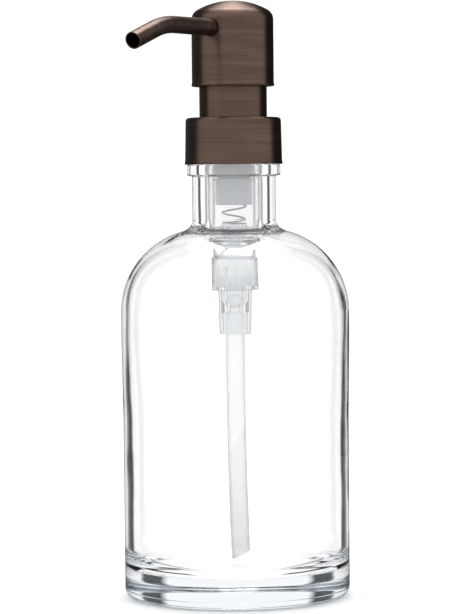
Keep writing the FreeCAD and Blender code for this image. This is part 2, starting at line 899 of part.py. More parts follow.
check_document()
os.makedirs("parts", exist_ok=True)
for item in sub_parts():
    item.Shape.exportStep(f"parts/{item.Label}.step")
    box = item.Shape.BoundBox
    print(f"{item.Label}: {item.Shape.Volume:.1f} mm3, z {box.ZMin:.2f} to {box.ZMax:.2f}")
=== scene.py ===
# %% [markdown]
# # A glass soap dispenser with a bronze-finished pump
#
# The object is a thick-walled glass bottle with a screw-on lotion pump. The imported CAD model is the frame:
# it fixes every size, and it says which body each piece moves with. The pieces that show are modelled again
# here with rounded edges and clean faces. The pieces that stay hidden keep their CAD mesh under a better
# material. Z is up, the origin is under the middle of the bottle, and the spout points along -Y.

# %% Load the frame
import math

import bpy
from mathutils import Matrix, Vector


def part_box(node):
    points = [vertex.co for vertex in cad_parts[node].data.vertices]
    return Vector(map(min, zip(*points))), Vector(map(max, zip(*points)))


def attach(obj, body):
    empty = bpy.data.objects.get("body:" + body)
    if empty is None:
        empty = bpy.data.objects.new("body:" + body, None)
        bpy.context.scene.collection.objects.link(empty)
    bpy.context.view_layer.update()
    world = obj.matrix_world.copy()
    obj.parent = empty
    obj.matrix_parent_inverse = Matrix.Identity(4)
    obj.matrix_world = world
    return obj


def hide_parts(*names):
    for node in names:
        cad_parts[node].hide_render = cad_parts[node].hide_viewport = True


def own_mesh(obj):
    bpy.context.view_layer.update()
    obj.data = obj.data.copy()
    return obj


MM = 0.001

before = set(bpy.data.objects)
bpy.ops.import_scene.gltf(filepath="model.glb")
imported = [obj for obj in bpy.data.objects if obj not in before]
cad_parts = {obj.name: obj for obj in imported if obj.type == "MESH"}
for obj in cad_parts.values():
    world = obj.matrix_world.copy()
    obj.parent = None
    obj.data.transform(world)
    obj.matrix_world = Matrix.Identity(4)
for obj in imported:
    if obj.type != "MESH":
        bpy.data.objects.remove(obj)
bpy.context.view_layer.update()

# %% [markdown]
# ## Drawing a section
#
# Almost every piece of a pump dispenser is turned, drawn or moulded round one axis, so it is a section that
# is spun round Z. A curve with a Screw modifier would do that too. A chain of vertices that is extruded and
# spun in edit mode was chosen because it leaves even bands of four-sided faces, and those bend light
# smoothly. Corners are written as (radius, height) in millimetres. A third number rounds the corner off: no
# moulded or drawn edge is sharp, and the rounded edge is what catches the light.

# %% Points of a section
CURVE_STEP = 3  # degrees turned between two points of a large curve
ARC_STEP = 9  # degrees turned between two points of a small rounding
KEEN, CRISP, FINE, EASED, SOFT = 0.1, 0.15, 0.2, 0.3, 0.4  # the usual roundings, in millimetres


def arc(centre, radius, start, end, step=CURVE_STEP):
    """Points round a centre (radius, height), from one angle in degrees to another."""
    count = math.ceil(abs(end - start) / step)
    angles = [math.radians(start + (end - start) * i / count) for i in range(count + 1)]
    return [(centre[0] + radius * math.cos(a), centre[1] + radius * math.sin(a)) for a in angles]


def rounded(corners):
    """The corners as points, with a small arc at each corner that has a rounding."""
    points = []
    for i, corner in enumerate(corners):
        here = Vector(corner[:2])
        if len(corner) < 3:
            points.append(tuple(here))
            continue
        back = (Vector(corners[i - 1][:2]) - here).normalized()
        on = (Vector(corners[(i + 1) % len(corners)][:2]) - here).normalized()
        half = back.angle(on) / 2
        centre = here + (back + on).normalized() * corner[2] / math.sin(half)
        spoke = here + back * corner[2] / math.tan(half) - centre
        turn = (math.pi - 2 * half) * (1 if (-back).cross(on) > 0 else -1)
        count = max(2, math.ceil(math.degrees(abs(turn)) / ARC_STEP))
        for step in range(count + 1):
            points.append(tuple(centre + Matrix.Rotation(turn * step / count, 2) @ spoke))
    return points


print("a square corner is rounded with", len(rounded([(0, 0), (1, 0, FINE), (1, 1)])) - 2, "points")

# %% Spin a section into a piece
AROUND = 160  # faces round a piece: 0.003 mm off a true circle on the collar
MERGE = 0.001 * MM


def chain(name, points):
    """One vertex, extruded from each point of the section to the next, left in edit mode."""
    bpy.ops.object.select_all(action="DESELECT")
    places = [Vector((across, 0, up)) * MM for across, up in points]
    bpy.ops.mesh.primitive_plane_add(size=MM, location=places[0])
    bpy.context.object.name = bpy.context.object.data.name = name
    bpy.ops.object.mode_set(mode="EDIT")
    bpy.ops.mesh.merge(type="CENTER")
    for here, there in zip(places, places[1:]):
        bpy.ops.mesh.extrude_region_move(TRANSFORM_OT_translate={"value": there - here})
    return bpy.context.object


def close_up(piece):
    """Merges doubles, turns all faces outwards and puts the object at the origin."""
    bpy.ops.mesh.select_all(action="SELECT")
    bpy.ops.mesh.remove_doubles(threshold=MERGE)
    bpy.ops.mesh.normals_make_consistent(inside=False)
    bpy.ops.object.mode_set(mode="OBJECT")
    bpy.ops.object.transform_apply(location=True, rotation=True, scale=True)
    return piece


def turned(name, points, ring=True, around=AROUND):
    """A solid turned round Z: a ring's section closes on itself, any other ends on the axis."""
    piece = chain(name, points + points[:1] if ring else points)
    bpy.ops.mesh.select_all(action="SELECT")
    bpy.ops.mesh.spin(steps=around, angle=math.tau, center=(0, 0, 0), axis=(0, 0, 1))
    return close_up(piece)

# %% Modifiers
def modify(piece, kind, **settings):
    """Adds a modifier with its settings and applies it."""
    bpy.context.view_layer.objects.active = piece
    modifier = piece.modifiers.new(kind.title(), kind)
    for key, value in settings.items():
        setattr(modifier, key, value)
    bpy.ops.object.modifier_apply(modifier=modifier.name)


def combine(piece, tool, operation):
    """Joins the tool to the piece or cuts it away, and removes the tool."""
    modify(piece, "BOOLEAN", object=tool, operation=operation, solver="MANIFOLD")
    bpy.data.objects.remove(tool)

# %% [markdown]
# ## Declaring a piece
#
# A piece has two ties to the frame: the body it moves with and the CAD node it stands for, which it hides.
# It also gets the material of its finish. Smooth shading alone would bend a flat wall's light near its
# roundings, so each vertex takes its normal from the largest face beside it.

# %% Tie a piece to the frame
FLAT_ANGLE = math.radians(42)


def declare(piece, body, node, material):
    """Shades the piece, gives it its material and ties it to the frame."""
    bpy.ops.object.select_all(action="DESELECT")
    piece.select_set(True)
    bpy.context.view_layer.objects.active = piece
    bpy.ops.object.shade_smooth_by_angle(angle=FLAT_ANGLE)
    modify(piece, "WEIGHTED_NORMAL", keep_sharp=True)
    piece.data.materials.clear()
    piece.data.materials.append(material)
    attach(piece, body)
    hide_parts(node)
    print(f"{piece.name} stands for {node}: {len(piece.data.polygons)} faces, rides on {body}")


def extent(node):
    """Lowest and highest corner of a CAD node, in millimetres."""
    return [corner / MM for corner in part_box(node)]

# %% [markdown]
# ## Colours and nodes
#
# Shaders work in linear light, while a colour is easiest to name as the sRGB hex value that a screen shows.
# One function turns the second into the first, and another adds a node with its settings and links.

# %% Helpers for materials
def linear(hex_colour):
    """An sRGB hex colour as linear red, green, blue and alpha, by the sRGB standard's formula."""
    parts = [int(hex_colour[i : i + 2], 16) / 255 for i in (1, 3, 5)]
    lit = [p / 12.92 if p <= 0.04045 else ((p + 0.055) / 1.055) ** 2.4 for p in parts]
    return (*lit, 1)


def add(tree, kind, inputs, **settings):
    """Adds a node: settings are its properties, inputs are values or the sockets they come from."""
    new = tree.nodes.new(kind)
    for key, value in settings.items():
        setattr(new, key, value)
    for socket, value in inputs.items():
        if isinstance(value, bpy.types.NodeSocket):
            tree.links.new(value, new.inputs[socket])
        else:
            new.inputs[socket].default_value = value
    return new


def material_of(name, **values):
    """A material with its node tree, its shader and the object's own coordinates."""
    made = bpy.data.materials.new(name)
    made.use_nodes = True
    tree = made.node_tree
    shader = tree.nodes["Principled BSDF"]
    for socket, value in values.items():
        shader.inputs[socket.replace("_", " ")].default_value = value
    place = add(tree, "ShaderNodeTexCoord", {}).outputs["Object"]
    return made, tree, shader, place


print("sRGB mid grey is", round(linear("#808080")[0], 3), "in linear light")

# %% [markdown]
# ## Light inside clear walls
#
# A path tracer can't aim a lamp's light through a wall that bends it, so whatever stands inside glass would
# turn dark, and so would the floor behind it. Caustics would be truer and take far too long. Real glass
# passes nearly all of that light, so the clear materials show shadow rays and diffuse rays a plain
# transparent shader. All that is seen or mirrored still goes through the shader that refracts.

# %% Let light pass
def lit_inside(tree, shader, colour):
    """Lets shadow rays and diffuse rays pass straight through, so that what is inside stays lit.

    The colour is what is left of the light at each surface: a value or a socket.
    """
    path = add(tree, "ShaderNodeLightPath", {})
    soft = {0: path.outputs["Is Shadow Ray"], 1: path.outputs["Is Diffuse Ray"]}
    lets_by = add(tree, "ShaderNodeMath", soft, operation="MAXIMUM")
    through = add(tree, "ShaderNodeBsdfTransparent", {"Color": colour})
    sides = {0: lets_by.outputs["Value"], 1: shader.outputs["BSDF"], 2: through.outputs["BSDF"]}
    mixed = add(tree, "ShaderNodeMixShader", sides)
    tree.links.new(mixed.outputs["Shader"], tree.nodes["Material Output"].inputs["Surface"])

# %% [markdown]
# ## Bottle glass
#
# The bottle is clear soda-lime glass, blown in a mould and fire polished, so it has no grain at all. What
# the eye reads is the dark line along each edge, where the wall is seen edge on, and a faint blue-grey in the
# thick floor. A transparent shader would be cheaper, but it can't bend the view of the dip tube, so the glass
# refracts. The dark edge line is painted shade: the glass's colour darkens where it is seen all but edge on,
# and a thin absorption tints its thick parts. The thick foot also passes less light on to the floor, which
# makes the contact shadow. Slow ripples of the mould and the cooling skin are too shallow to model, and a
# weak bump bends the lines a little instead.

# %% Clear bottle glass
SODA_LIME_IOR, TINT_DENSITY = 1.52, 7.0
FACING_BLEND, LINE_STARTS, EDGE_ON = 0.5, 0.86, 1.0  # 0 is seen straight on, 1 is seen edge on
RIPPLE, RIPPLE_DEPTH, RIPPLE_STRENGTH = 18 * MM, 0.4 * MM, 0.25
THICK_FOOT, THIN_WALL = 7 * MM, 14 * MM  # between these heights the glass passes more and more light


def bottle_glass():
    """Clear glass with painted shade where it is seen edge on, tinted where it is thick, and shading the floor
    at its foot.
    """
    made, tree, shader, place = material_of(
        "soda_lime_glass_blown", Roughness=0.0, IOR=SODA_LIME_IOR, Transmission_Weight=1.0
    )
    # Painted shade: the base colour turns dark grey as the wall turns edge on, which draws the dark edge line.
    edge = add(tree, "ShaderNodeLayerWeight", {"Blend": FACING_BLEND})
    edge_shade = add(tree, "ShaderNodeValToRGB", {"Fac": edge.outputs["Facing"]})
    clear, shaded_stop = edge_shade.color_ramp.elements
    clear.position, clear.color = LINE_STARTS, linear("#FFFFFF")
    shaded_stop.position, shaded_stop.color = EDGE_ON, linear("#2E3034")
    tree.links.new(edge_shade.outputs["Color"], shader.inputs["Base Color"])
    waves = add(tree, "ShaderNodeTexNoise", {"Vector": place, "Scale": 1 / RIPPLE, "Detail": 1.0})
    ripple = {"Height": waves.outputs["Fac"], "Strength": RIPPLE_STRENGTH, "Distance": RIPPLE_DEPTH}
    bump = add(tree, "ShaderNodeBump", ripple)
    tree.links.new(bump.outputs["Normal"], shader.inputs["Normal"])
    tinted = {"Color": linear("#DAE0E6"), "Density": TINT_DENSITY}
    absorb = add(tree, "ShaderNodeVolumeAbsorption", tinted)
    tree.links.new(absorb.outputs["Volume"], tree.nodes["Material Output"].inputs["Volume"])
    height = add(tree, "ShaderNodeSeparateXYZ", {"Vector": place}).outputs["Z"]
    foot_to_wall = {"Value": height, "From Min": THICK_FOOT, "From Max": THIN_WALL}
    rise = add(tree, "ShaderNodeMapRange", foot_to_wall)
    passed = add(tree, "ShaderNodeValToRGB", {"Fac": rise.outputs["Result"]})
    thick, thin = passed.color_ramp.elements
    thick.color, thin.color = linear("#BCC0C2"), linear("#FCFCFC")
    lit_inside(tree, shader, passed.outputs["Color"])
    return made

# %% [markdown]
# ## Bronze finish
#
# The head, sleeve, collar and spout are drawn brass under a dark, oil-rubbed bronze plating that was brushed
# while the piece turned. The scratches run round the axis. They spread each reflection up and down and leave
# it sharp from side to side, so the shader is anisotropic across the brushing. Real scratches are a few
# hundredths of a millimetre apart and can't be seen one by one from here, so they are drawn 0.3 mm apart, with
# slower bands of lighter and darker plating behind them. The spout was polished along its length before it
# was bent, so it has the same plating without the rings.

# %% Oil-rubbed bronze
SCRATCH, BAND, STREAK = 0.3 * MM, 2.6 * MM, 30 * MM  # width of a scratch, width of a band, their length
SCRATCH_DETAIL, BAND_DETAIL = 3.0, 2.0
SCRATCH_DEPTH, BRUSHED_BUMP, POLISHED_BUMP = 0.02 * MM, 0.28, 0.04
DARKEST, LIGHTEST = 0.36, 0.64  # where the noise has the darkest and the lightest plating
PLATING_ROUGHNESS, SPREAD, QUARTER_TURN = 0.36, 0.7, 0.25


def bronze(name, brushed):
    """Dark plating with streaks: brushed round Z, or polished without a direction."""
    made, tree, shader, place = material_of(name, Metallic=1.0, Roughness=PLATING_ROUGHNESS)
    streaks = []
    for size, detail in ((SCRATCH, SCRATCH_DETAIL), (BAND, BAND_DETAIL)):
        scale = (1 / STREAK, 1 / STREAK, 1 / size) if brushed else (1 / BAND,) * 3
        stretched = add(tree, "ShaderNodeMapping", {"Vector": place, "Scale": scale})
        noise = {"Vector": stretched.outputs["Vector"], "Scale": 1.0, "Detail": detail}
        streaks.append(add(tree, "ShaderNodeTexNoise", noise).outputs["Fac"])
    both = add(tree, "ShaderNodeMath", {0: streaks[0], 1: streaks[1]}, operation="ADD")
    mean = add(tree, "ShaderNodeMath", {0: both.outputs["Value"], 1: 0.5}, operation="MULTIPLY")
    colours = add(tree, "ShaderNodeValToRGB", {"Fac": mean.outputs["Value"]})
    dark, light = colours.color_ramp.elements
    dark.position, dark.color = DARKEST, linear("#594840")
    light.position, light.color = LIGHTEST, linear("#69584F")
    tree.links.new(colours.outputs["Color"], shader.inputs["Base Color"])
    strength = BRUSHED_BUMP if brushed else POLISHED_BUMP
    depth = {"Height": streaks[0], "Strength": strength, "Distance": SCRATCH_DEPTH}
    bump = add(tree, "ShaderNodeBump", depth)
    tree.links.new(bump.outputs["Normal"], shader.inputs["Normal"])
    if brushed:
        shader.inputs["Anisotropic"].default_value = SPREAD
        shader.inputs["Anisotropic Rotation"].default_value = QUARTER_TURN
        round_z = add(tree, "ShaderNodeTangent", {}, direction_type="RADIAL", axis="Z")
        tree.links.new(round_z.outputs["Tangent"], shader.inputs["Tangent"])
    return made

# %% [markdown]
# ## Pump plastics and wire
#
# The housing, the valve body and the connector are natural polypropylene: injection moulded, milky clear and
# glossy, and milkier where the wall is thick. The dip tube is extruded low-density polyethylene. The sliding
# piston and the stem are pigmented light grey, and the nut and the core of the head are black. Scattering
# under the skin would be the truest way to make plastic milky. In walls this thin a part of plain diffuse
# colour beside the clear part looks the same and renders much faster, and painted shade, which darkens the
# colour as a wall turns away, draws the outline. Mould steel is polished by hand, so a moulded face has a
# faint orange-peel bump a few tenths of a millimetre across. The spring is drawn stainless wire, dull grey
# from the drawing soap.

# %% Moulded and extruded plastic
RESIN_IOR, NEARLY_SMOOTH = 1.49, 0.02
PEEL, PEEL_DEPTH, PEEL_STRENGTH = 0.6 * MM, 0.02 * MM, 0.15
CLOUD, CLOUD_DETAIL, CLOUD_SHADE = 8 * MM, 2.0, 0.96
# These set the painted outline shade: the colour darkens from the first value to the second.
OUTLINE_SHADE_STARTS, OUTLINE_SHADE_FULL = 0.4, 0.9  # how far a wall is turned away where its outline starts and is darkest


def plastic(name, colour, roughness, clear=0.0):
    """Moulded plastic with slow clouds, orange peel and, when clear, painted shade along its outline: clear is
    the share of light it lets through.
    """
    made, tree, shader, place = material_of(
        name, Roughness=roughness, IOR=RESIN_IOR, Transmission_Weight=clear
    )
    slow = {"Vector": place, "Scale": 1 / CLOUD, "Detail": CLOUD_DETAIL}
    cloud = add(tree, "ShaderNodeTexNoise", slow)
    shades = add(tree, "ShaderNodeMix", {"Factor": cloud.outputs["Fac"]}, data_type="RGBA")
    shades.inputs["A"].default_value = linear(colour)
    shades.inputs["B"].default_value = [v * CLOUD_SHADE for v in linear(colour)[:3]] + [1]
    tree.links.new(shades.outputs["Result"], shader.inputs["Base Color"])
    peel = add(tree, "ShaderNodeTexNoise", {"Vector": place, "Scale": 1 / PEEL, "Detail": 1.0})
    dimples = {"Height": peel.outputs["Fac"], "Strength": PEEL_STRENGTH, "Distance": PEEL_DEPTH}
    bump = add(tree, "ShaderNodeBump", dimples)
    tree.links.new(bump.outputs["Normal"], shader.inputs["Normal"])
    if clear:
        # Painted shade: where a clear wall turns edge on, its base colour is multiplied darker, which draws
        # the outline.
        edge = add(tree, "ShaderNodeLayerWeight", {"Blend": FACING_BLEND})
        outline_shade = add(tree, "ShaderNodeValToRGB", {"Fac": edge.outputs["Facing"]})
        unshaded_stop, shaded_stop = outline_shade.color_ramp.elements
        unshaded_stop.position, unshaded_stop.color = OUTLINE_SHADE_STARTS, linear("#FFFFFF")
        shaded_stop.position, shaded_stop.color = OUTLINE_SHADE_FULL, linear("#888C90")
        shaded_outline = add(tree, "ShaderNodeMix", {"Factor": 1.0}, data_type="RGBA", blend_type="MULTIPLY")
        tree.links.new(shades.outputs["Result"], shaded_outline.inputs["A"])
        tree.links.new(outline_shade.outputs["Color"], shaded_outline.inputs["B"])
        tree.links.new(shaded_outline.outputs["Result"], shader.inputs["Base Color"])
        lit_inside(tree, shader, linear(colour))
    return made


# %% Drawn wire, and all the finishes
WIRE_ROUGHNESS = 0.3


def drawn_wire():
    """Stainless wire with slow dull patches."""
    made, tree, shader, place = material_of("drawn_stainless_wire", Metallic=1.0, Roughness=WIRE_ROUGHNESS)
    patches = {"Vector": place, "Scale": 1 / BAND, "Detail": BAND_DETAIL}
    dull = add(tree, "ShaderNodeTexNoise", patches)
    greys = add(tree, "ShaderNodeValToRGB", {"Fac": dull.outputs["Fac"]})
    greys.color_ramp.elements[0].color = linear("#6C6E70")
    greys.color_ramp.elements[1].color = linear("#8A8C8E")
    tree.links.new(greys.outputs["Color"], shader.inputs["Base Color"])
    return made


GLASS = bottle_glass()
BRONZE = bronze("oil_rubbed_bronze_brushed_round", brushed=True)
BRONZE_PLAIN = bronze("oil_rubbed_bronze_polished", brushed=False)
CLEAR_PP = plastic("natural_polypropylene_moulded", "#FCFCFD", NEARLY_SMOOTH, clear=0.92)
MILKY_PP = plastic("natural_polypropylene_thick", "#F3F4F5", NEARLY_SMOOTH, clear=0.82)
DIP_PE = plastic("low_density_polyethylene_extruded", "#FCFCFC", NEARLY_SMOOTH, clear=0.7)
GREY_PP = plastic("grey_polypropylene_moulded", "#9EA2A4", roughness=0.4)
BLACK_PP = plastic("black_polypropylene_moulded", "#141414", roughness=0.45)
LINER = plastic("foamed_polyethylene_liner", "#E8E8E4", roughness=0.7)
SPRING_WIRE = drawn_wire()
print("made", len(bpy.data.materials), "materials, the CAD ones counted")

# %% [markdown]
# ## Bottle
#
# The bottle is one blown piece: a push-up dome under the floor, a straight body that swells by half a
# millimetre towards the shoulder, a round shoulder, a neck, the bead that the filling line grips and the
# threaded finish. It could be subdivided from a cylinder, but glass shows every lump in its faces, so the
# section is drawn with true arcs, outside and inside in one line, and spun. The wall is thinner from the
# shoulder up, where the glass was blown further.

# %% Section of the bottle
bottle_top = extent("glass_bottle")[1]
SHOULDER_R, RIM = bottle_top.x, bottle_top.z
PANEL_R = SHOULDER_R - 0.4
PANEL_TOP, SWELL, SHOULDER, SHOULDER_BEND = 60.0, 88.0, 96.0, 28.0
WALL, LOW_WALL = 1.9, 2.6
PUSH_UP, FOOT_RING, FLOOR, FLOOR_RISE, FLOOR_FLAT_R = 2.0, 30.0, 9.3, 0.4, 20.0
NECK_R, NECK_BORE, NECK_CORNER = 14.0, 10.0, 124.8
NECK_FOOT_R, NECK_FOOT, NECK_BEND, CEILING_SHELF = 17.0, 127.0, 3.9, 5.0
BEAD_R, BEAD_LOW, BEAD_HIGH, FINISH_R = 15.65, 141.5, 145.6, 12.5
FOOT_ROUND, BEAD_ROUND, FINISH_ROUND, RIM_ROUND = 3.5, 0.9, 0.5, 0.45
INNER_NECK_ROUND, INNER_FOOT_ROUND, DOME_STEP = 4.6, 8.0, 0.5

bend_centre = (SHOULDER_R - SHOULDER_BEND, SHOULDER)
outer_end = math.degrees(math.acos((NECK_FOOT_R - bend_centre[0]) / SHOULDER_BEND))
inner_bend = SHOULDER_BEND - WALL
ceiling_r = NECK_BORE + CEILING_SHELF
inner_end = math.degrees(math.acos((ceiling_r - bend_centre[0]) / inner_bend))
ceiling = SHOULDER + inner_bend * math.sin(math.radians(inner_end))
neck_corner = ceiling + (ceiling_r - NECK_BORE) * (ceiling_r - bend_centre[0]) / (ceiling - SHOULDER)
dome = FOOT_RING**2 / (2 * PUSH_UP) + PUSH_UP / 2
dome_edge = math.degrees(math.asin(FOOT_RING / dome))

bottle_line = arc((0, PUSH_UP - dome), dome, 90, 90 - dome_edge, step=DOME_STEP)
bottle_line += rounded([(FOOT_RING, 0), (PANEL_R, 0, FOOT_ROUND), (PANEL_R, PANEL_TOP)])[1:]
bottle_line += [(SHOULDER_R, SWELL)] + arc(bend_centre, SHOULDER_BEND, 0, outer_end)
bottle_line += rounded(
    [
        bottle_line[-1],
        (NECK_R, NECK_CORNER, NECK_BEND),
        (NECK_R, BEAD_LOW, SOFT),
        (BEAD_R, BEAD_LOW, BEAD_ROUND),
        (BEAD_R, BEAD_HIGH, BEAD_ROUND),
        (FINISH_R, BEAD_HIGH, FINISH_ROUND),
        (FINISH_R, RIM, RIM_ROUND),
        (NECK_BORE, RIM, RIM_ROUND),
        (NECK_BORE, neck_corner, INNER_NECK_ROUND),
        (ceiling_r, ceiling),
    ]
)[1:-1]
bottle_line += arc(bend_centre, inner_bend, inner_end, 0) + [(SHOULDER_R - WALL, SWELL)]
bottle_line += rounded(
    [
        (PANEL_R - LOW_WALL, PANEL_TOP),
        (PANEL_R - LOW_WALL, FLOOR, INNER_FOOT_ROUND),
        (FLOOR_FLAT_R, FLOOR),
        (0, FLOOR + FLOOR_RISE),
    ]
)
print("the bottle's section has", len(bottle_line), "points")

# %% [markdown]
# The thread is a ridge with a flat crest that climbs one pitch a turn and fades into the wall at both ends.
# A Screw modifier would leave blunt ends, so the ridge's section is extruded, lifted and turned step by
# step, and squeezed in its first and last steps. It is then joined to the bottle, so that there is no glass
# inside glass.
#
# Blown glass is true outside, where it met the mould, and a little uneven inside. A Displace modifier with a
# slow cloud texture moves only the inner wall, and that breaks up the lines of light in the body.

# %% Bottle with its thread
PITCH, TURNS, THREAD_START, THREAD_DEPTH = 4.23, 1.25, 148.0, 1.15
THREAD_HALF, FLANK, ROOT_SINK = 1.15, 0.65, 0.3
THREAD_STEPS, FADE_STEPS, FADE_END = 72, 7, 0.12
CREST_R = FINISH_R + THREAD_DEPTH
BOTTLE_AROUND, LUMP, LUMP_DEPTH = 192, 16 * MM, 0.3 * MM


def thread(name, root_r, crest_r, steps=THREAD_STEPS):
    """A helical ridge between two radii that fades out at both ends."""
    low, high = THREAD_START - THREAD_HALF, THREAD_START + THREAD_HALF
    flanks = [(root_r, low), (crest_r, low + FLANK), (crest_r, high - FLANK), (root_r, high)]
    ridge = chain(name, flanks)
    bpy.ops.mesh.select_all(action="SELECT")
    bpy.ops.mesh.edge_face_add()
    turn = math.tau * TURNS / steps
    climb = Vector((0, 0, PITCH * TURNS / steps * MM))
    ends = [min(1, min(i, steps - i) / FADE_STEPS) for i in range(steps + 1)]
    fades = [FADE_END + (1 - FADE_END) * near for near in ends]
    seat = Vector((root_r, 0, THREAD_START)) * MM
    bpy.ops.transform.resize(value=(fades[0],) * 3, center_override=seat)
    for i in range(1, steps + 1):
        bpy.ops.mesh.extrude_region_move()
        bpy.ops.transform.translate(value=climb)
        bpy.ops.transform.rotate(value=-turn, orient_axis="Z", center_override=(0, 0, 0))
        seat = Matrix.Rotation(turn, 3, "Z") @ seat + climb
        bpy.ops.transform.resize(value=(fades[i] / fades[i - 1],) * 3, center_override=seat)
    return close_up(ridge)


bottle = turned("bottle", bottle_line, ring=False, around=BOTTLE_AROUND)
inner_wall = bottle.vertex_groups.new(name="inner_wall")
for v in bottle.data.vertices:
    inwards = v.normal.x * v.co.x + v.normal.y * v.co.y < 0
    if inwards and FLOOR * MM < v.co.z < NECK_FOOT * MM:
        inner_wall.add([v.index], 1.0, "REPLACE")
lumps = bpy.data.textures.new("uneven_wall", "CLOUDS")
lumps.noise_scale = LUMP
lumps.noise_depth = 0
modify(
    bottle,
    "DISPLACE",
    texture=lumps,
    vertex_group="inner_wall",
    strength=LUMP_DEPTH,
    mid_level=0.5,
    texture_coords="LOCAL",
)
bottle.vertex_groups.clear()
combine(bottle, thread("bottle_thread", FINISH_R - ROOT_SINK, CREST_R), "UNION")
declare(bottle, "bottle", "glass_bottle", GLASS)

# %% [markdown]
# ## Collar and sleeve
#
# The collar is a cup drawn from thin sheet that hides the plastic nut. It widens towards its foot by half a
# millimetre, and its foot edge is cut and rolled smooth. The sleeve is a plain tube, cut at both ends, that
# stands on the collar.

# %% Collar
collar_low, collar_high = extent("collar_shell")
COLLAR_FOOT, COLLAR_TOP, COLLAR_R = collar_low.z, collar_high.z, collar_high.x
HOLE_R, SHEET, FLARE, FLARE_HEIGHT, TAPER = 11.65, 0.45, 0.2, 1.5, 0.5
FLARE_ROUND, TOP_ROUND = 2.0, 1.2
collar = turned(
    "collar",
    rounded(
        [
            (COLLAR_R - SHEET, COLLAR_FOOT, FINE),
            (COLLAR_R, COLLAR_FOOT, FINE),
            (COLLAR_R - FLARE, COLLAR_FOOT + FLARE_HEIGHT, FLARE_ROUND),
            (COLLAR_R - TAPER, COLLAR_TOP, TOP_ROUND),
            (HOLE_R, COLLAR_TOP, CRISP),
            (HOLE_R, COLLAR_TOP - SHEET, CRISP),
            (COLLAR_R - TAPER - SHEET, COLLAR_TOP - SHEET, TOP_ROUND - SHEET),
            (COLLAR_R - FLARE - SHEET, COLLAR_FOOT + FLARE_HEIGHT, FLARE_ROUND),
        ]
    ),
)
declare(collar, "closure", "collar_shell", BRONZE)

# %% Sleeve
sleeve_low, sleeve_high = extent("guide_sleeve")
SLEEVE_R, SLEEVE_BORE, CUT_ROUND = sleeve_high.x, 10.85, 0.22
sleeve = turned(
    "sleeve",
    rounded(
        [
            (SLEEVE_BORE, sleeve_low.z),
            (SLEEVE_R, sleeve_low.z),
            (SLEEVE_R, sleeve_high.z, CUT_ROUND),
            (SLEEVE_BORE, sleeve_high.z, CUT_ROUND),
        ]
    ),
)
declare(sleeve, "pump", "guide_sleeve", BRONZE)

# %% [markdown]
# ## Head cap and spout
#
# The head is a drawn cap with a low dome. Its foot edge is rolled out a little, which shows as a bright line
# under the head. It could be a cylinder with a bevelled top, but the dome is part of a much larger ball, so
# two arcs draw it. The hole for the spout is cut with a cylinder once the cap is closed.

# %% Head cap
head_low, head_high = extent("head_shell")
HEAD_LIP_R, HEAD_FOOT, HEAD_TOP = head_high.x, head_low.z, head_high.z
HEAD_WALL, CROWN, CROWN_ROUNDING, CROWN_STEP = 0.6, 24.1, 3.8, 2
LIP, LIP_STRAIGHT, LIP_HEIGHT, LIP_INNER_ROUND = 0.15, 0.8, 1.2, 0.25
HEAD_R = HEAD_LIP_R - LIP
SPOUT_Z, SPOUT_R, HOLE_GAP, HOLE_DEPTH = 190.7, 2.85, 0.2, 10


def crown(radius, bend, top, rounding):
    """The dome's section, from the side wall up to the axis, with its edge rounded."""
    across, reach = radius - rounding, bend - rounding
    up = math.sqrt(reach**2 - across**2)
    tilt = math.degrees(math.atan2(up, across))
    edge = arc((across, top - bend + up), rounding, 0, tilt)
    return edge + arc((0, top - bend), bend, tilt, 90, step=CROWN_STEP)[1:]


outside = crown(HEAD_R, CROWN, HEAD_TOP, CROWN_ROUNDING)
inside = crown(HEAD_R - HEAD_WALL, CROWN - HEAD_WALL, HEAD_TOP - HEAD_WALL, CROWN_ROUNDING - HEAD_WALL)
foot = rounded(
    [
        (HEAD_R - HEAD_WALL, HEAD_FOOT + LIP_HEIGHT),
        (HEAD_LIP_R - HEAD_WALL, HEAD_FOOT, LIP_INNER_ROUND),
        (HEAD_LIP_R, HEAD_FOOT, EASED),
        (HEAD_LIP_R, HEAD_FOOT + LIP_STRAIGHT, EASED),
        (HEAD_R, HEAD_FOOT + LIP_HEIGHT),
    ]
)
head_cap = turned("head_cap", inside[::-1] + foot + outside, ring=False)

bpy.ops.mesh.primitive_cylinder_add(
    vertices=64,
    radius=(SPOUT_R + HOLE_GAP) * MM,
    depth=HOLE_DEPTH * MM,
    location=Vector((0, -HEAD_R, SPOUT_Z)) * MM,
    rotation=(math.pi / 2, 0, 0),
)
combine(head_cap, bpy.context.object, "DIFFERENCE")
declare(head_cap, "head", "head_shell", BRONZE)

# %% [markdown]
# The spout is a tube bent on a former, so it is drawn as the bender works: a ring of wire is pulled straight
# out, turned round the former's centre and pulled straight again. The wall is added inwards, and both cut
# ends are rounded by a narrow bevel.

# %% Spout
spout_reach = extent("spout_tube")[0].y
SPOUT_WALL, SPOUT_START, STRAIGHT, CUT_BEVEL = 0.4, 5.0, 36.0, 0.12
FORMER, DROOP, END_RUN, BEND_STEPS = 35.0, math.radians(18.5), 13.3, 24
CUT_ANGLE = math.radians(60)


def pull(direction, length):
    """Extrudes the selected ring in a straight line."""
    step = Vector(direction) * length * MM
    bpy.ops.mesh.extrude_region_move(TRANSFORM_OT_translate={"value": step})


def ring(name, radius, place, rotation=(0, 0, 0), corners=48):
    """A ring of edges, in edit mode and selected."""
    bpy.ops.object.select_all(action="DESELECT")
    bpy.ops.mesh.primitive_circle_add(
        vertices=corners, radius=radius * MM, location=Vector(place) * MM, rotation=rotation
    )
    bpy.context.object.name = bpy.context.object.data.name = name
    bpy.ops.object.mode_set(mode="EDIT")
    bpy.ops.mesh.select_all(action="SELECT")
    return bpy.context.object


def round_cuts(piece, width, segments, angle):
    """A narrow bevel on the cut ends, which are the only edges with so large an angle."""
    modify(piece, "BEVEL", width=width * MM, segments=segments, limit_method="ANGLE", angle_limit=angle)


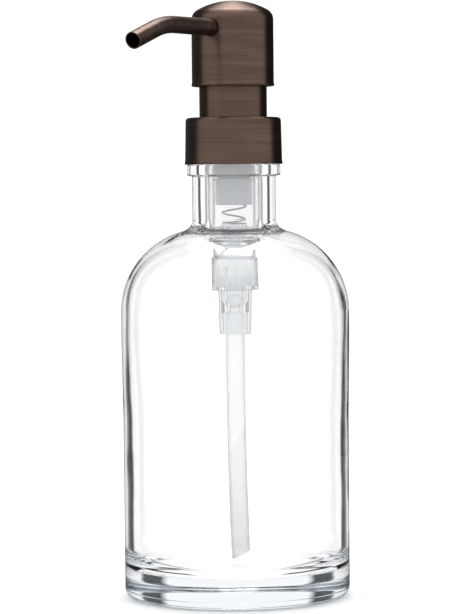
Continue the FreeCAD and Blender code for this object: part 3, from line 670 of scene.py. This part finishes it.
spout = ring("spout", SPOUT_R, (0, -SPOUT_START, SPOUT_Z), (math.pi / 2, 0, 0))
pull((0, -1, 0), STRAIGHT - SPOUT_START)
former_centre = Vector((0, -STRAIGHT, SPOUT_Z - FORMER)) * MM
bpy.ops.mesh.spin(steps=BEND_STEPS, angle=-DROOP, center=former_centre, axis=(1, 0, 0))
pull((0, -math.cos(DROOP), -math.sin(DROOP)), END_RUN)
close_up(spout)
modify(spout, "SOLIDIFY", thickness=SPOUT_WALL * MM, offset=-1)
round_cuts(spout, CUT_BEVEL, 3, CUT_ANGLE)
declare(spout, "head", "spout_tube", BRONZE_PLAIN)
print("the spout reaches y", round(min(v.co.y for v in spout.data.vertices) / MM, 2), "mm; CAD", spout_reach)

# %% [markdown]
# ## Pump housing, valve and connector
#
# These natural polypropylene mouldings hang inside the neck and show through the glass. The housing is a
# straight cylinder with two snap rings at its foot. The valve body snaps on under it, and the connector
# holds the ball's seat above and the dip tube below.

# %% Housing
housing_low, housing_high = extent("pump_housing")
FLANGE_R, SEAT, HOUSING_FOOT = housing_high.x, housing_high.z, housing_low.z
HOUSING_R, HOUSING_BORE, CHAMBER_FLOOR, FLANGE = 8.75, 7.35, 121.3, 1.0
GROOVE_R, POST_R, POST_TOP, INLET_R = 8.3, 4.45, 124.8, 2.2
SNAP_RING, RING_FOOT = 0.9, HOUSING_FOOT + 0.5
UNDERCUT_ROUND, TAPER_ROUND, CORNER_ROUND, POST_ROUND = 0.6, 1.5, 0.5, 0.25


def ring_at(count):
    """The height that is so many snap rings up from the lowest one."""
    return RING_FOOT + SNAP_RING * count


housing = turned(
    "housing",
    rounded(
        [
            (INLET_R, HOUSING_FOOT),
            (GROOVE_R, HOUSING_FOOT, FINE),
            (HOUSING_R, ring_at(0), FINE),
            (HOUSING_R, ring_at(1), CRISP),
            (GROOVE_R, ring_at(1.5), CRISP),
            (HOUSING_R, ring_at(2), CRISP),
            (HOUSING_R, ring_at(3), CRISP),
            (GROOVE_R, ring_at(4), FINE),
            (GROOVE_R, ring_at(5), UNDERCUT_ROUND),
            (HOUSING_R, ring_at(8), TAPER_ROUND),
            (HOUSING_R, SEAT - FLANGE, EASED),
            (FLANGE_R, SEAT - FLANGE, CRISP),
            (FLANGE_R, SEAT, CRISP),
            (HOUSING_BORE, SEAT, CRISP),
            (HOUSING_BORE, CHAMBER_FLOOR, CORNER_ROUND),
            (POST_R, CHAMBER_FLOOR, FINE),
            (POST_R, POST_TOP, POST_ROUND),
            (INLET_R, POST_TOP, KEEN),
        ]
    ),
    around=112,
)
declare(housing, "pump", "pump_housing", CLEAR_PP)

# %% [markdown]
# The valve body carries twelve short ribs inside its lower half that steady the connector. One rib is drawn
# as a box, spun into twelve copies and joined to the turned barrel.

# %% Valve body
valve_low, valve_high = extent("valve_body")
VALVE_FOOT, NOZZLE_TOP = valve_low.z, valve_high.z
VALVE_R, VALVE_NECK_R, VALVE_NECK, VALVE_WALL, PORT_R = 7.75, 7.15, 114.2, 1.2, 3.6
NOZZLE_R, NOZZLE_BORE, STEP_ROUND = 2.15, 1.3, 0.25
RIB_COUNT, RIB_WIDTH, RIB_DEPTH, RIB_HEIGHT, RIB_SINK = 12, 0.8, 0.6, 6.5, 0.3
valve_floor = VALVE_FOOT + VALVE_WALL
valve_ceiling = HOUSING_FOOT - VALVE_WALL
valve = turned(
    "valve",
    rounded(
        [
            (NOZZLE_BORE, valve_ceiling),
            (VALVE_NECK_R - VALVE_WALL, valve_ceiling, SOFT),
            (VALVE_NECK_R - VALVE_WALL, VALVE_NECK, FINE),
            (VALVE_R - VALVE_WALL, VALVE_NECK - VALVE_WALL / 2, FINE),
            (VALVE_R - VALVE_WALL, valve_floor, FINE),
            (PORT_R, valve_floor, KEEN),
            (PORT_R, VALVE_FOOT, KEEN),
            (VALVE_R, VALVE_FOOT, EASED),
            (VALVE_R, VALVE_NECK, STEP_ROUND),
            (VALVE_NECK_R, VALVE_NECK + VALVE_WALL / 2, EASED),
            (VALVE_NECK_R, HOUSING_FOOT, CRISP),
            (NOZZLE_R, HOUSING_FOOT, KEEN),
            (NOZZLE_R, NOZZLE_TOP, CRISP),
            (NOZZLE_BORE, NOZZLE_TOP, CRISP),
        ]
    ),
    around=96,
)
rib_r = VALVE_R - VALVE_WALL - RIB_DEPTH / 2 + RIB_SINK
bpy.ops.mesh.primitive_cube_add(
    size=1,
    location=Vector((rib_r, RIB_WIDTH, valve_floor + RIB_HEIGHT / 2)) * MM,
    scale=Vector((RIB_DEPTH + 2 * RIB_SINK, RIB_WIDTH, RIB_HEIGHT)) * MM,
)
ribs = bpy.context.object
bpy.ops.object.mode_set(mode="EDIT")
bpy.ops.mesh.select_all(action="SELECT")
bpy.ops.mesh.spin(steps=RIB_COUNT, angle=math.tau, dupli=True, center=(0, 0, 0), axis=(0, 0, 1))
close_up(ribs)
combine(valve, ribs, "UNION")
declare(valve, "pump", "valve_body", MILKY_PP)

# %% Connector
connector_low, connector_high = extent("tube_connector")
CONNECTOR_FOOT, SPIGOT_TOP = connector_low.z, connector_high.z
CONNECTOR_R, CONNECTOR_FOOT_R, SPIGOT_R = 5.6, 5.15, 3.55
CHAMBER_R, THROAT_R, CONE_TOP, CONE_FOOT = 2.9, 1.9, 99.9, 97.9
DIP_R, DIP_BORE, SOCKET_TOP = 3.1, 2.3, 95.8
SOCKET_R = DIP_R + 0.02
connector = turned(
    "connector",
    rounded(
        [
            (SOCKET_R, CONNECTOR_FOOT, FINE),
            (CONNECTOR_FOOT_R, CONNECTOR_FOOT, EASED),
            (CONNECTOR_R, VALVE_FOOT, EASED),
            (SPIGOT_R, VALVE_FOOT, KEEN),
            (SPIGOT_R, SPIGOT_TOP, CRISP),
            (CHAMBER_R, SPIGOT_TOP, CRISP),
            (CHAMBER_R, CONE_TOP, EASED),
            (THROAT_R, CONE_FOOT, EASED),
            (THROAT_R, SOCKET_TOP, KEEN),
            (SOCKET_R, SOCKET_TOP),
        ]
    ),
    around=80,
)
declare(connector, "pump", "tube_connector", MILKY_PP)

# %% [markdown]
# ## Dip tube
#
# The tube comes off a coil, so it keeps a faint bow, and its foot is cut at a slant so that it can't seal
# itself against the floor. It is drawn like the spout, with a very large former, and a slanted bisect cuts
# the foot before the wall is added.

# %% Dip tube
dip_top = extent("dip_tube")[1].z
DIP_STRAIGHT, DIP_FOOT, LEAN, LEAN_SIDE = 80.0, 12.3, 1.3, math.radians(32)
BOW_STEPS, CUT_RISE, CUT_SLOPE, SOFT_CUT, SOFT_ANGLE = 16, 1.6, 0.5, 0.1, math.radians(50)
drop = DIP_STRAIGHT - DIP_FOOT
bow = (drop**2 + LEAN**2) / (2 * LEAN)
lean_way = Vector((math.cos(LEAN_SIDE), math.sin(LEAN_SIDE), 0))
hinge_line = Vector((-lean_way.y, lean_way.x, 0))
dip_tube = ring("dip_straw", DIP_R, (0, 0, dip_top), corners=40)
pull((0, 0, -1), dip_top - DIP_STRAIGHT)
bow_centre = (lean_way * bow + Vector((0, 0, DIP_STRAIGHT))) * MM
bpy.ops.mesh.spin(steps=BOW_STEPS, angle=math.asin(drop / bow), center=bow_centre, axis=hinge_line)
bpy.ops.mesh.select_all(action="SELECT")
slant = (lean_way * -CUT_SLOPE + Vector((0, 0, 1))).normalized()
foot_centre = (lean_way * LEAN + Vector((0, 0, DIP_FOOT + CUT_RISE))) * MM
bpy.ops.mesh.bisect(plane_co=foot_centre, plane_no=slant, clear_inner=True)
close_up(dip_tube)
modify(dip_tube, "SOLIDIFY", thickness=(DIP_R - DIP_BORE) * MM, offset=-1)
round_cuts(dip_tube, SOFT_CUT, 2, SOFT_ANGLE)
declare(dip_tube, "pump", "dip_tube", DIP_PE)

# %% [markdown]
# ## Piston and spring
#
# The grey piston slides in the housing and shows through it. The return spring is wire wound right-handed
# with a closed turn at each end, so it sits flat. It is wound here as on a lathe: a small ring of wire
# section is extruded, turned and fed along a little at each step, and the feed is small in the end turns.
# The piece rides on the pump.

# %% Piston
piston_low, piston_high = extent("piston")
LIP_R, PISTON_TOP, PISTON_FOOT = piston_high.x, piston_high.z, piston_low.z
PISTON_R, PISTON_BORE, HUB_R, HUB_BORE, WEB = 6.2, 4.7, 5.5, 4.05, 143.0
LIP_LOW, LIP_HIGH, LIP_ROUND = 139.9, 140.7, 0.35
piston = turned(
    "piston_skirt",
    rounded(
        [
            (PISTON_BORE, PISTON_FOOT, EASED),
            (PISTON_R, PISTON_FOOT, EASED),
            (PISTON_R, LIP_LOW, EASED),
            (LIP_R, LIP_LOW, CRISP),
            (LIP_R, LIP_HIGH, LIP_ROUND),
            (HUB_R, LIP_HIGH, SOFT),
            (HUB_R, PISTON_TOP, EASED),
            (HUB_BORE, PISTON_TOP, CRISP),
            (HUB_BORE, WEB, KEEN),
            (PISTON_BORE, WEB, EASED),
        ]
    ),
    around=96,
)
declare(piston, "slider", "piston", GREY_PP)

# %% Return spring
spring_low, spring_high = extent("return_spring")
COIL_R, WIRE_R, WIRE_CORNERS, COIL_PITCH, STEPS_A_TURN = 3.95, 0.3, 10, 4.4, 32
END_RISE = 2.1 * WIRE_R  # rise of a closed turn: the wire's own thickness and a little air
FRONT_LEFT = math.radians(212)  # where the open coil passes the top of the post
free_height = spring_high.z - spring_low.z - 2 * WIRE_R
open_turns = (free_height - 2 * END_RISE) / COIL_PITCH
coil_foot = spring_low.z + WIRE_R
start_angle = FRONT_LEFT - math.tau * (1 + (POST_TOP - coil_foot - END_RISE) / COIL_PITCH)

spring = ring("coil_spring", WIRE_R, (COIL_R, 0, coil_foot), (math.pi / 2, 0, 0), corners=WIRE_CORNERS)
bpy.ops.mesh.edge_face_add()
bpy.ops.transform.rotate(value=-start_angle, orient_axis="Z", center_override=(0, 0, 0))
closed_turn = [END_RISE / STEPS_A_TURN] * STEPS_A_TURN
open_coil = [COIL_PITCH / STEPS_A_TURN] * round(open_turns * STEPS_A_TURN)
for feed in closed_turn + open_coil + closed_turn:
    bpy.ops.mesh.extrude_region_move(TRANSFORM_OT_translate={"value": (0, 0, feed * MM)})
    bpy.ops.transform.rotate(value=-math.tau / STEPS_A_TURN, orient_axis="Z", center_override=(0, 0, 0))
close_up(spring)
declare(spring, "pump", "return_spring", SPRING_WIRE)
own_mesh(spring)

# %% [markdown]
# ## Hidden pieces
#
# The rest is behind metal or inside the pump, and its CAD mesh has the right shape, so each node only gets
# the material of the real piece.

# %% Materials of the hidden pieces
HIDDEN = {
    "neck_gasket": LINER,
    "closure_nut": BLACK_PP,
    "head_core": BLACK_PP,
    "ball_retainer": MILKY_PP,
    "inlet_ball": DIP_PE,
    "chaplet": GREY_PP,
    "stem": GREY_PP,
    "piston_seat": GREY_PP,
}
for node, material in HIDDEN.items():
    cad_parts[node].material_slots[0].material = material
print(len(HIDDEN), "hidden pieces keep their CAD mesh")

# %% [markdown]
# ## Stage, light and camera
#
# Clear glass is lit from its surroundings, so a white world stands for a white sweep all round. Inside clear
# walls a ray meets many surfaces, so it may bounce often before it is given up. The floor takes the contact
# shadow, and neither mirrors nor glass show it.

# %% World and floor
BOUNCES, DIFFUSE_BOUNCES = 32, 8
SWEEP_GLOW, FLOOR_SIZE, FLOOR_GAP, BOARD_ROUGHNESS = 1.12, 6, 0.0002, 0.9
scene = bpy.context.scene
scene.view_settings.view_transform = "Standard"
scene.cycles.max_bounces = BOUNCES
scene.cycles.transmission_bounces = BOUNCES
scene.cycles.glossy_bounces = BOUNCES
scene.cycles.diffuse_bounces = DIFFUSE_BOUNCES
world = bpy.data.worlds.new("white_sweep")
scene.world = world
world.use_nodes = True
background = world.node_tree.nodes["Background"]
background.inputs["Color"].default_value = linear("#FFFFFF")
background.inputs["Strength"].default_value = SWEEP_GLOW

bpy.ops.object.select_all(action="DESELECT")
bpy.ops.mesh.primitive_plane_add(size=FLOOR_SIZE, location=(0, 0, -FLOOR_GAP))
floor = bpy.context.object
floor.name = "floor"
board = material_of("matt_white_board", Roughness=BOARD_ROUGHNESS, Base_Color=linear("#F4F5F5"))[0]
floor.data.materials.append(board)
floor.visible_glossy = False
floor.visible_transmission = False
print("the floor is", FLOOR_SIZE, "m wide")

# %% [markdown]
# Metal needs something dark to mirror, or it has no shape, and glass needs something dark beyond its edges,
# or it has no outline. Studios stand black cards just outside the frame for that. Here each card is seen by
# one kind of ray, so a card for the metal leaves the glass alone. Two wide screens behind darken the metal's
# sides and two narrow cards the glass's edges, a grey card lies below, and a bright card behind makes the
# patch on the dome. The cards glow by themselves and fade out at their sides, as an unlit card with soft
# edges looks.

# %% Cards
CAMERA_SIDE = math.radians(32)
AIM, CARD_AWAY, CARD_HEIGHT = Vector((0, 0, 0.18)), 0.7, 2.4


def around_camera(angle, distance, height):
    """A place at an angle from the camera's side, anticlockwise from above."""
    turned_to = CAMERA_SIDE + math.radians(angle)
    return Vector((math.sin(turned_to) * distance, -math.cos(turned_to) * distance, height))


def card(name, place, size, colour, seen_by, soft=0.1, glow=1.0):
    """A flat card that faces the neck and fades out at its sides, seen by one kind of ray only."""
    bpy.ops.mesh.primitive_plane_add(size=1, location=place)
    made = bpy.context.object
    made.name = name
    made.scale = (*size, 1)
    made.rotation_euler = (AIM - place).to_track_quat("Z", "Y").to_euler()
    looks = {"Base_Color": linear("#000000"), "Emission_Color": linear(colour), "Emission_Strength": glow}
    cloth, tree, shader, place_on = material_of(name + "_cloth", Specular_IOR_Level=0.0, **looks)
    across = add(tree, "ShaderNodeSeparateXYZ", {"Vector": place_on}).outputs["X"]
    out = add(tree, "ShaderNodeMath", {0: across}, operation="ABSOLUTE").outputs["Value"]
    fade = {"Value": out, "From Min": 0.5, "From Max": 0.5 - soft}
    faded = add(tree, "ShaderNodeMapRange", fade).outputs["Result"]
    tree.links.new(faded, shader.inputs["Alpha"])
    made.data.materials.append(cloth)
    made.visible_camera = made.visible_diffuse = made.visible_shadow = False
    made.visible_glossy = seen_by == "reflection"
    made.visible_transmission = seen_by == "refraction"
    print(name, "is seen by", seen_by)


for name, angle, width, colour, seen_by, soft in (
    ("dark_screen_left", -136, 1.28, "#585858", "reflection", 0.04),
    ("dark_screen_right", 140, 1.1, "#2C2C2C", "reflection", 0.05),
    ("dark_card_left", -144, 0.26, "#444648", "refraction", 0.2),
    ("dark_card_right", 144, 0.26, "#444648", "refraction", 0.2),
):
    side = around_camera(angle, CARD_AWAY, AIM.z)
    card(name, side, (width, CARD_HEIGHT), colour, seen_by, soft)
below = Vector((0, 0, -0.02))
card("dark_card_below", below, (1.4, 1.4), "#747474", "reflection")
behind = around_camera(174, 0.28, 0.82)
card("bright_card_behind", behind, (0.8, 0.3), "#FFFFFF", "reflection", soft=0.2, glow=7.0)

# %% Softbox overhead
HEAD_HEIGHT = Vector((0, 0, 0.19))
lamp = bpy.data.lights.new("softbox_overhead", "AREA")
lamp.shape = "SQUARE"
lamp.size = 0.28
lamp.energy = 1.8
softbox = bpy.data.objects.new("softbox_overhead", lamp)
scene.collection.objects.link(softbox)
softbox.location = around_camera(180, 0.12, 0.8)
softbox.rotation_euler = (HEAD_HEIGHT - softbox.location).to_track_quat("-Z", "Y").to_euler()
print("the softbox is", lamp.size, "m wide and hangs", round(softbox.location.z, 2), "m up")

# %% Camera
LENS, SENSOR, DISTANCE, EYE = 167.4, 36, 0.96, 0.1397
PITCH_DOWN, ROLL = math.radians(2.52), math.radians(-0.54)
camera_data = bpy.data.cameras.new("camera")
camera_data.lens = LENS
camera_data.sensor_width = SENSOR
camera = bpy.data.objects.new("camera", camera_data)
scene.collection.objects.link(camera)
camera.location = around_camera(0, DISTANCE, EYE)
level = Matrix.Rotation(CAMERA_SIDE, 3, "Z") @ Matrix.Rotation(math.pi / 2 - PITCH_DOWN, 3, "X")
camera.rotation_euler = (level @ Matrix.Rotation(ROLL, 3, "Z")).to_euler()
scene.camera = camera
print("the camera stands", DISTANCE, "m away with a lens of", LENS, "mm")
